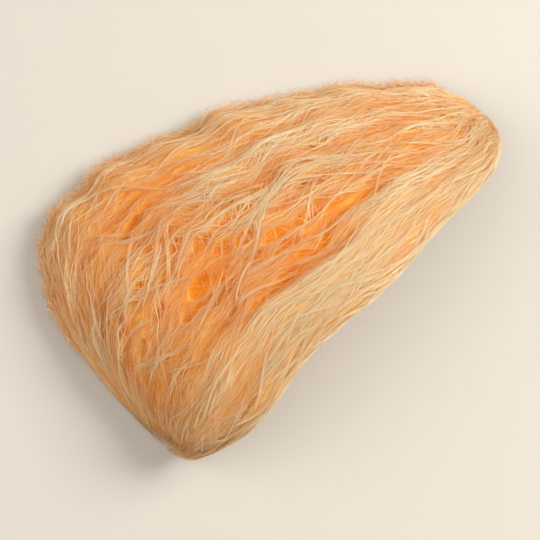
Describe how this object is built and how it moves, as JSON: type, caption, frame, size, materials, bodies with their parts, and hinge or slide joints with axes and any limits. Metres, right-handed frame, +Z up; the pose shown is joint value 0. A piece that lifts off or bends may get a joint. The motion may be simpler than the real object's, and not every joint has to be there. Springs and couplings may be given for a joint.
{
  "type": "edible bird's nest",
  "caption": "Dried half-cup bird's nest of fine ivory-peach strands running foot to foot, with a thick lip, a thin fixed edge and a hollow open at the mouth and back.",
  "frame": {"origin": "centre of the nest's footprint on the floor it lies on", "axes": "+X along the line from the full foot to the narrow foot, +Y from the lip towards the thin edge that was fixed to a wall, +Z up from the flat back it lies on"},
  "size_m": [0.08, 0.0542, 0.0279],
  "materials": {
    "strands": "dry, slightly translucent strands with a soft satin sheen"
  },
  "bodies": {
    "root": {"nest": "strands"}
  },
  "joints": []
}
